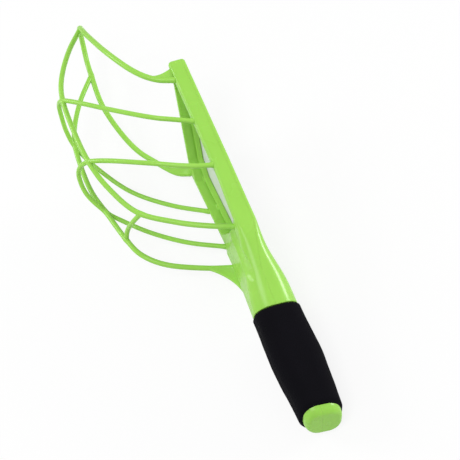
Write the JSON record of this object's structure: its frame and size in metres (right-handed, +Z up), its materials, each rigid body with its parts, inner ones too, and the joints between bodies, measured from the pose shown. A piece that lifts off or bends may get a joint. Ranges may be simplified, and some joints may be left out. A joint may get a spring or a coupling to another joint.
{
  "type": "basket catch paddle",
  "caption": "Hand paddle for catching and throwing a hollow plastic ball: a shallow tray head with a clear panel, an open basket of round bars before it and a straight handle with a foam grip.",
  "frame": {"origin": "middle of the foam grip, on the handle's axis", "axes": "+X runs from the grip to the basket's tip, +Y is the side that the basket bulges to, +Z is up as the paddle lies on its side with the long rail on top"},
  "size_m": [0.4137, 0.1296, 0.0871],
  "materials": {
    "green_plastic": "smooth moulded plastic, lime green",
    "clear_plastic": "pale see-through sheet",
    "printed_sheet": "thin pale film without print",
    "black_foam": "matte closed-cell foam",
    "screw_steel": "plain steel"
  },
  "bodies": {
    "root": {"front_frame": "green_plastic", "rear_frame": "green_plastic", "panel": "clear_plastic", "panel_label": "printed_sheet", "foam_grip": "black_foam", "mouth_rim": "green_plastic", "spine": "green_plastic", "side_bar": "green_plastic", "upper_hoop": "green_plastic", "middle_hoop": "green_plastic", "lower_link": "green_plastic", "frame_screws": "screw_steel"}
  },
  "joints": []
}
